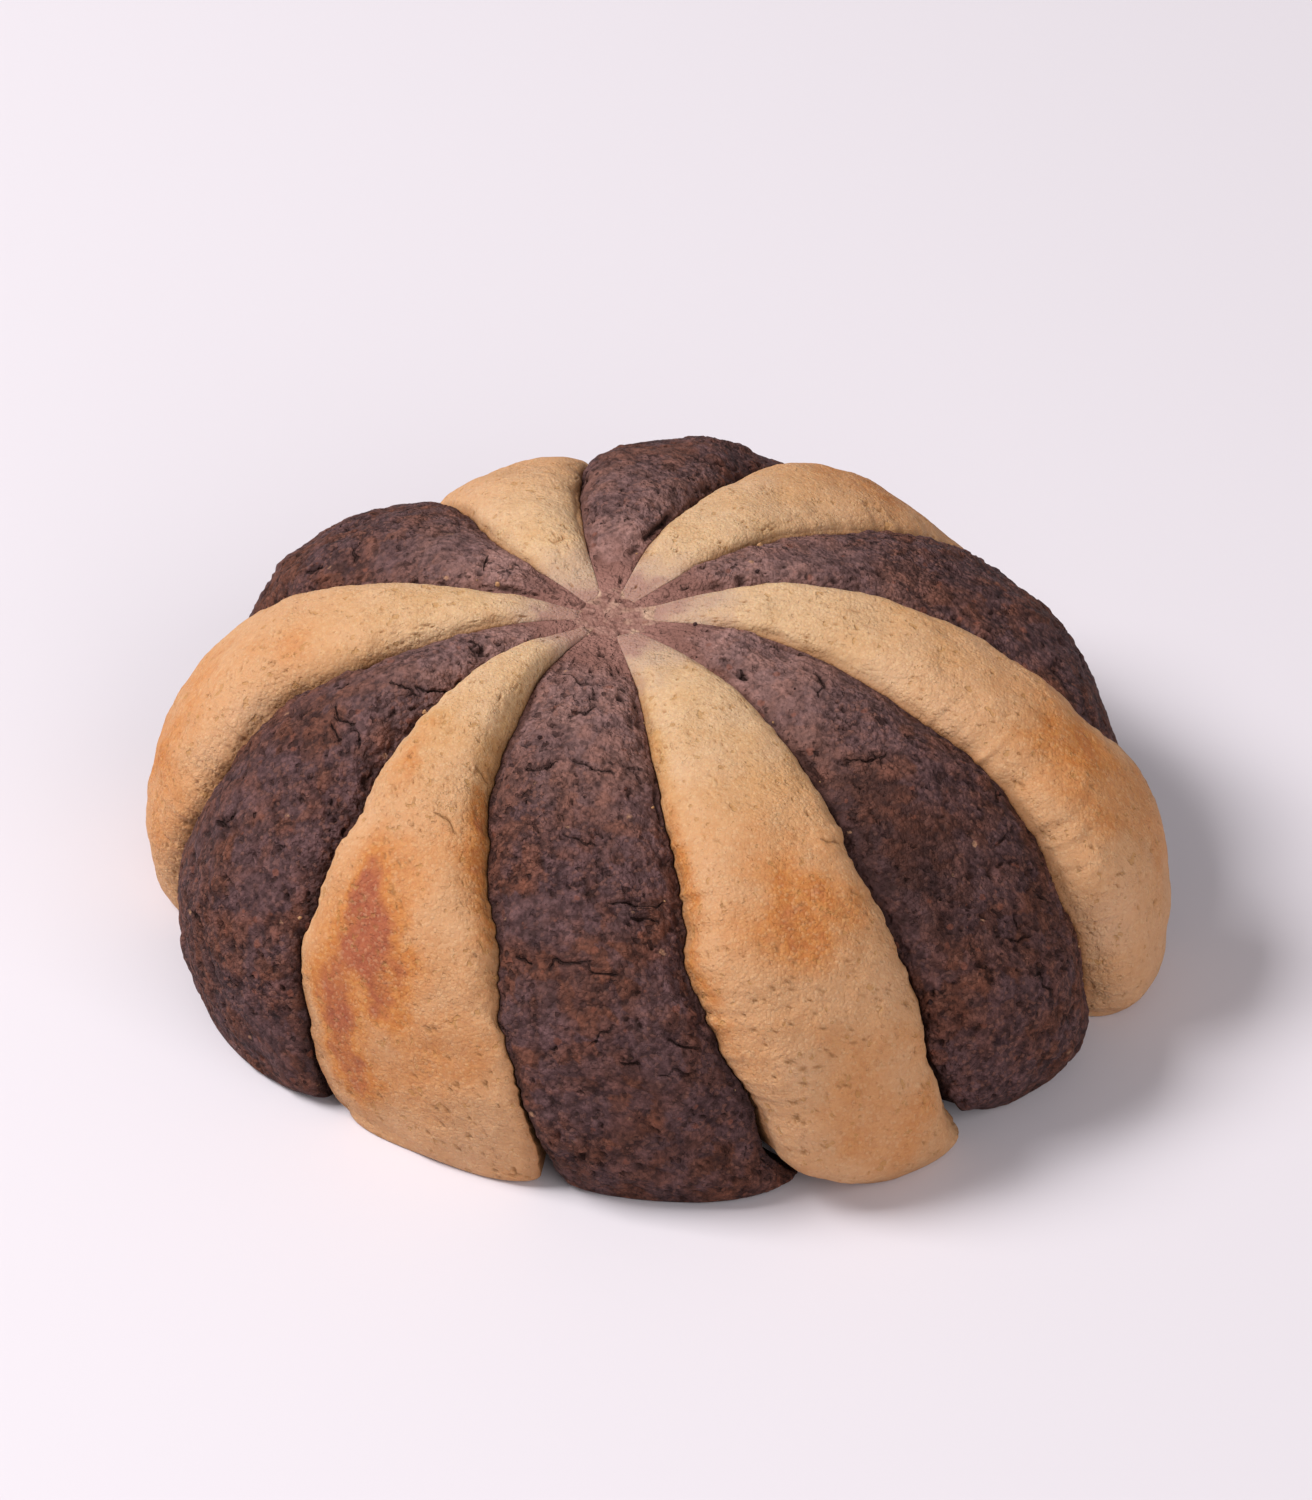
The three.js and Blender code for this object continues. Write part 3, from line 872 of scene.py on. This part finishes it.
def crack_group():
    """A mask for the painted shade down the modelled cracks' middle, from how far off its line
    a place is, with a ragged edge. Width is half the mask's width in millimetres."""
    group, tree, entry, leave = new_group(
        "crack_lines", [("Width", NUMBER, 0.05)], [("Mask", NUMBER)])
    ragged = tree.minus(tree.noise(object_spot(tree), 1 / 0.00022, 2.0, 0.55), 0.5)
    off = tree.plus(tree.attribute("off_line"), tree.times(ragged, 0.16))
    off = tree.math("ABSOLUTE", off)
    line = tree.minus(1.6, tree.math("DIVIDE", off, entry["Width"]))
    line = tree.node("ShaderNodeClamp", {"Value": line}).outputs[0]
    near = tree.ramp(tree.attribute("near_line"), 0.1, 0.4)
    tree.feed(leave["Mask"], tree.times(line, near))
    return group


def speck_group():
    """Scattered round specks as a mask. Spacing is in millimetres, Size is a share of the
    spacing, and Share is how many places have one."""
    group, tree, entry, leave = new_group(
        "specks",
        [("Spacing", NUMBER, 1.0), ("Size", NUMBER, 0.25), ("Share", NUMBER, 0.3)],
        [("Mask", NUMBER)])
    spot = object_spot(tree)
    scale = tree.math("DIVIDE", 1000.0, entry["Spacing"])
    wobble = tree.noise(spot, 1 / 0.00025, 2.0, 0.55)
    cells = tree.node("ShaderNodeTexVoronoi", {"Vector": spot, "Scale": scale})
    split = tree.node("ShaderNodeSeparateColor", {0: cells.outputs["Color"]})
    present = tree.math("LESS_THAN", split.outputs[0], entry["Share"])
    radius = tree.times(entry["Size"], tree.plus(split.outputs[1], 0.5))
    distance = tree.plus(cells.outputs["Distance"], tree.times(tree.minus(wobble, 0.5), 0.3))
    near = tree.minus(radius, distance)
    tree.feed(leave["Mask"], tree.times(present, tree.ramp(near, 0.0, 0.08)))
    return group


def shade_group():
    """Colours a dough by the point values: towards the pale smear and then the mauve one at
    the knot, and towards a painted shade in pores and cracks."""
    group, tree, entry, leave = new_group(
        "hub_and_hollow_shade",
        [("Dough", COLOUR, (1, 1, 1, 1)), ("Smear", COLOUR, (1, 1, 1, 1)),
         ("Hub", COLOUR, (1, 1, 1, 1)), ("Hollow shade", COLOUR, (0, 0, 0, 1)),
         ("Mottle", NUMBER, 0.5)],
        [("Color", COLOUR)])
    hub = tree.attribute("hub")
    colour = tree.mix(tree.ramp(hub, 0.0, 0.6), entry["Dough"], entry["Smear"])
    patchy = tree.plus(hub, tree.times(entry["Mottle"], 0.3))
    colour = tree.mix(tree.ramp(patchy, 0.65, 1.1), colour, entry["Hub"])
    # Painted shade in pores, cracks, tears and dents, as deep as the hollow value
    deep = tree.times(tree.attribute("hollow"), 0.85)
    tree.feed(leave["Color"], tree.mix(deep, colour, entry["Hollow shade"]))
    return group


class Finish(Tree):
    """A new material's tree, with its shader and the colour that is built up in layers."""

    def __init__(self, name, specular):
        self.material = bpy.data.materials.new(name)
        self.material.use_nodes = True
        super().__init__(self.material.node_tree)
        self.shader = self.tree.nodes["Principled BSDF"].inputs
        self.shader["Specular IOR Level"].default_value = specular
        self.colour = "ffffff"

    def group(self, group, inputs):
        return self.node("ShaderNodeGroup", inputs, node_tree=group).outputs

    def cover(self, mask, colour):
        """Lays another colour over the one so far, as much as the mask says."""
        self.colour = self.mix(mask, self.colour, colour)

    def tint(self, colour, mask, strength):
        """Lays a share of another colour over: the mask's value times the strength."""
        self.cover(self.times(mask, strength), colour)

    def surface(self, roughness, height, depth):
        """Feeds the shader, with a bump that deep in metres."""
        bump = self.node("ShaderNodeBump", {"Height": height, "Distance": depth}).outputs[0]
        self.feed(self.shader["Base Color"], self.colour)
        self.feed(self.shader["Roughness"], roughness)
        self.feed(self.shader["Normal"], bump)

    def soften(self, weight, radius):
        """Lets a little light through the dough's surface."""
        self.shader["Subsurface Weight"].default_value = weight
        self.shader["Subsurface Radius"].default_value = radius
        self.shader["Subsurface Scale"].default_value = 1.0


def cream_material(grain, specks, shade, lines):
    """Baked cream dough: straw at the crown, gold and orange-brown where the oven caught it,
    fine sandy grain with painted shade in its low places, short pits and cracks in a darker
    golden painted shade, a few brown specks, browning and painted shade in the grooves, and
    mauve smears near the knot."""
    tree = Finish("cream_dough", specular=0.3)
    fine = tree.group(grain, {"Grain": 0.16, "Mottle size": 2.4})
    pitted = tree.group(grain, {"Grain": 0.3, "Mottle size": 1.3})
    line = tree.group(lines, {"Width": 0.035})["Mask"]
    edge = tree.attribute("edge")
    uneven = tree.times(tree.minus(fine["Mottle"], 0.5), 0.26)
    bake = tree.plus(tree.attribute("bake"), uneven)
    fleck_and_shade = fine["Fleck and shade"]
    straw = tree.mix(fleck_and_shade, "bb9672", "c8a680")
    gold = tree.mix(fleck_and_shade, "b0824e", "be9464")
    amber = tree.mix(fleck_and_shade, "ad6831", "bc7d42")
    russet = tree.mix(fleck_and_shade, "8f4a2e", "a15b3b")
    tree.colour = tree.mix(tree.ramp(bake, 0.0, 0.36), straw, gold)
    low = tree.minus(1.0, tree.attribute("crown"))
    tree.tint("c08c6b", tree.times(low, low), 0.5)
    tree.cover(tree.ramp(bake, 0.42, 0.85), amber)
    tree.cover(tree.ramp(bake, 0.85, 1.2), russet)
    tree.tint("cfae88", tree.ramp(fine["Tone"], 0.75, 0.9), 0.15)
    rust = tree.group(specks, {"Spacing": 0.8, "Size": 0.1, "Share": 0.12})["Mask"]
    tree.tint("9c6338", rust, 0.45)
    # Painted shade in the pits
    tree.tint("a3743d", pitted["Pit"], 0.5)
    # Painted shade down the cracks
    tree.tint("7d5230", line, 0.5)
    # Browned dough and painted shade, stronger towards the grooves
    tree.tint("87562f", tree.ramp(edge, 0.35, 1.0), 0.85)
    smear = tree.times(edge, tree.ramp(tree.attribute("hub"), 0.02, 0.4))
    tree.tint("94685a", smear, 0.65)
    # The hollow colour is a painted shade for pores, cracks, tears and dents
    tree.colour = tree.group(shade, {
        "Dough": tree.colour, "Smear": "b5967d", "Hub": "9e786a", "Hollow shade": "94653a",
        "Mottle": fine["Mottle"]})["Color"]
    roughness = tree.plus(0.7, tree.times(fleck_and_shade, 0.14))
    relief = tree.times(fine["Height"], tree.plus(tree.attribute("crumbly"), 0.4))
    height = tree.minus(relief, pitted["Pit"])
    height = tree.minus(height, tree.times(line, 1.5))
    tree.surface(roughness, height, 0.00004)
    tree.soften(0.18, (0.0009, 0.0005, 0.00025))
    return tree.material


def cocoa_material(grain, specks, shade, lines):
    """Baked cocoa dough: mauve-brown, lighter at the crown with dust and a painted sheen, and
    darker down the sides and along the grooves with painted shade; cloudy with rusty places,
    with red-brown and tan grains, raised grains lighter as dust and a painted highlight, painted
    shade in its low places, pits and cracks, and a warmer fringe at the grooves."""
    tree = Finish("cocoa_dough", specular=0.16)
    fine = tree.group(grain, {"Grain": 0.2, "Mottle size": 1.5})
    pitted = tree.group(grain, {"Grain": 0.36, "Mottle size": 3.4})
    line = tree.group(lines, {"Width": 0.05})["Mask"]
    crumbly = tree.attribute("crumbly")
    edge = tree.attribute("edge")
    crown = tree.attribute("crown")
    # The raised grains are lighter, as dust and as a painted highlight
    raised = tree.times(tree.attribute("raised"), 0.5)
    fleck_and_shade = tree.times(tree.plus(fine["Fleck and shade"], pitted["Fleck and shade"]), 0.42)
    fleck_and_shade = tree.minus(tree.plus(fleck_and_shade, raised), 0.12)
    mauve = tree.mix(fleck_and_shade, "2c191b", "705151")
    rusty = tree.mix(fleck_and_shade, "2d1510", "774838")
    clump = tree.attribute("clump")
    reddish = tree.plus(tree.times(clump, 0.7), pitted["Mottle"])
    tree.colour = tree.mix(tree.ramp(reddish, 0.6, 1.2), mauve, rusty)
    shaded = tree.math("FRACT", tree.times(clump, 7.0))
    tree.tint("33201d", shaded, 0.4)
    # Lighter at the crown: partly dust, partly a painted sheen
    dust_and_sheen = tree.times(crown, tree.ramp(pitted["Mottle"], -0.6, 1.1))
    dust_and_sheen = tree.times(dust_and_sheen, tree.plus(fleck_and_shade, 0.45))
    tree.cover(dust_and_sheen, "a27c75")
    light = tree.times(tree.ramp(fine["Tone"], 0.72, 0.9), crumbly)
    tree.tint("7e5345", light, 0.4)
    tree.tint("27140f", tree.ramp(fine["Tone"], 0.22, 0.08), 0.4)
    fringe = tree.times(tree.ramp(edge, 0.25, 0.9), tree.ramp(fine["Mottle"], 0, 0.8))
    fringe = tree.times(fringe, crown)
    tree.tint("7d4f3f", fringe, 0.75)
    # Painted shade: the cocoa darkens towards its grooves, away from the crown
    groove = tree.times(tree.ramp(edge, 0.3, 1.0), tree.minus(1.0, crown))
    tree.tint("27140f", groove, 0.75)
    # Painted shade where this value runs high: down the flanks and beside cream_petal_1's edge
    painted_shade = tree.ramp(tree.attribute("bake"), 0.6, 1.1)
    tree.tint("2f1a16", painted_shade, 0.6)
    red = tree.group(specks, {"Spacing": 0.8, "Size": 0.2, "Share": 0.3})["Mask"]
    tree.tint("7b4737", red, 0.5)
    tan = tree.group(specks, {"Spacing": 1.5, "Size": 0.1, "Share": 0.36})["Mask"]
    tree.tint("a87d60", tan, 0.75)
    # Painted shade in the pits
    tree.tint("2a1613", pitted["Pit"], 0.7)
    # Painted shade down the cracks
    tree.tint("1c0c09", line, 0.8)
    # The hollow colour is a painted shade for pores, cracks, tears and dents
    tree.colour = tree.group(shade, {
        "Dough": tree.colour, "Smear": "7a544b", "Hub": "8e655b", "Hollow shade": "27130f",
        "Mottle": fine["Mottle"]})["Color"]
    roughness = tree.plus(0.7, tree.times(fine["Fleck and shade"], 0.2))
    relief = tree.plus(fine["Height"], pitted["Height"])
    relief = tree.times(relief, tree.plus(crumbly, 0.3))
    height = tree.minus(relief, tree.times(line, 1.4))
    tree.surface(roughness, height, 0.0001)
    return tree.material


def knot_material(grain, specks):
    """Tips of both doughs smeared together: mauve-brown, with beige patches of cream."""
    tree = Finish("knot_dough", specular=0.25)
    fine = tree.group(grain, {"Grain": 0.22, "Mottle size": 1.2})
    brown = tree.mix(fine["Fleck and shade"], "7b5349", "9d7569")
    beige = tree.mix(fine["Fleck and shade"], "a4806b", "bc9a83")
    creamy = tree.ramp(tree.attribute("creamy"), 0.1, 0.5)
    tree.colour = tree.mix(creamy, brown, beige)
    rusty = tree.group(specks, {"Spacing": 0.7, "Size": 0.25, "Share": 0.2})["Mask"]
    tree.tint("7b4a3a", rusty, 0.4)
    # Painted shade in the pits
    tree.tint("5a382e", fine["Pit"], 0.5)
    # Painted shade in the pores
    tree.tint("4a2a22", tree.attribute("hollow"), 0.8)
    roughness = tree.plus(0.72, tree.times(fine["Fleck and shade"], 0.14))
    tree.surface(roughness, fine["Height"], 0.0001)
    return tree.material


def settle(piece, slot, *nodes):
    """The piece moves with the cookie and stands for its nodes. The slot is not used."""
    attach(piece, "root")
    if nodes:
        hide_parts(*nodes)


def crumb_spots(tops, rng, count):
    """Places for loose crumbs: random points of the cocoa petals' tops, near a groove."""
    spots = []
    while len(spots) < count:
        top, edge = tops[rng.integers(len(tops))]
        row = rng.integers(10, ROWS_ABOVE_GIRTH)
        column = rng.integers(1, STEPS_ACROSS)
        if rng.random() < 0.05 + 0.9 * edge[row, column] * (edge[row, column] < 0.8):
            spots.append(top[row, column])
    return np.array(spots)


def build_cookie():
    grain, specks, shade, lines = grain_group(), speck_group(), shade_group(), crack_group()
    doughs = {
        "cream": cream_material(grain, specks, shade, lines),
        "cocoa": cocoa_material(grain, specks, shade, lines),
    }
    tops = []
    for index, petal in enumerate(PETALS):
        body, top, edge = petal_body(index)
        piece = body.make(petal.name + "_baked", doughs[petal.dough])
        settle(piece, petal.dough + "_dough", petal.name)
        if petal.dough == "cocoa":
            tops.append((top, edge))
    knot = knot_body().make("centre_knot_baked", knot_material(grain, specks))
    settle(knot, "knot_dough", "centre_knot")
    for dough, count, seed in CRUMBS:
        rng = np.random.default_rng(seed)
        spots = crumb_spots(tops, rng, count)
        sizes = CRUMB_LEAST + CRUMB_SPREAD * rng.random(count)**2
        crumbs = crumbs_body(spots, sizes, rng).make(dough + "_crumbs", doughs[dough])
        settle(crumbs, dough + "_dough")


def build_floor():
    """A plain pale floor, a hair below the cookie's underside."""
    mesh = bpy.data.meshes.new("floor")
    corners = [(x * FLOOR_HALF, y * FLOOR_HALF, FLOOR_HEIGHT)
               for x, y in ((-1, -1), (1, -1), (1, 1), (-1, 1))]
    mesh.from_pydata(corners, [], [(0, 1, 2, 3)])
    paint = bpy.data.materials.new("pale_floor")
    paint.use_nodes = True
    shader = paint.node_tree.nodes["Principled BSDF"]
    shader.inputs["Base Color"].default_value = srgb("d3ccd2")
    shader.inputs["Roughness"].default_value = 0.6
    mesh.materials.append(paint)
    floor = add_object("floor", mesh)
    floor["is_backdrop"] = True


def aim(thing, target):
    """Turns a lamp or a camera to look at a point."""
    away = thing.location - target
    thing.rotation_euler = away.to_track_quat("Z", "Y").to_euler()


def build_lights(target):
    """A large soft lamp above and to the left, a weaker one to the right, and pale air."""
    for name, spot, size, power in LAMPS:
        lamp = bpy.data.lights.new(name, "AREA")
        lamp.size = size
        lamp.energy = power
        thing = add_object(name, lamp)
        thing.location = spot
        aim(thing, target)
    world = bpy.data.worlds.new("pale_air")
    world.use_nodes = True
    background = world.node_tree.nodes["Background"]
    background.inputs["Color"].default_value = srgb("f3eff2")
    background.inputs["Strength"].default_value = 0.28
    bpy.context.scene.world = world
    bpy.context.scene.view_settings.view_transform = "Standard"


def build_camera(target):
    """The camera stands in front, 38.3 degrees above the level, and far off as a long lens
    does, so that the cookie fills most of the frame's width."""
    elevation = math.radians(38.3)
    distance = 0.6
    frame_width = 0.0635
    sensor = 36.0
    camera = bpy.data.cameras.new("camera")
    camera.sensor_fit = "HORIZONTAL"
    camera.sensor_width = sensor
    camera.lens = sensor * distance / frame_width
    camera.clip_start = 0.01
    thing = add_object("camera", camera)
    thing.location = target.copy()
    thing.location.y -= distance * math.cos(elevation)
    thing.location.z += distance * math.sin(elevation)
    aim(thing, target)
    bpy.context.scene.camera = thing


build_cookie()
build_floor()
low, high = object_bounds()
middle = (low + high) / 2
build_lights(middle)
build_camera(middle)
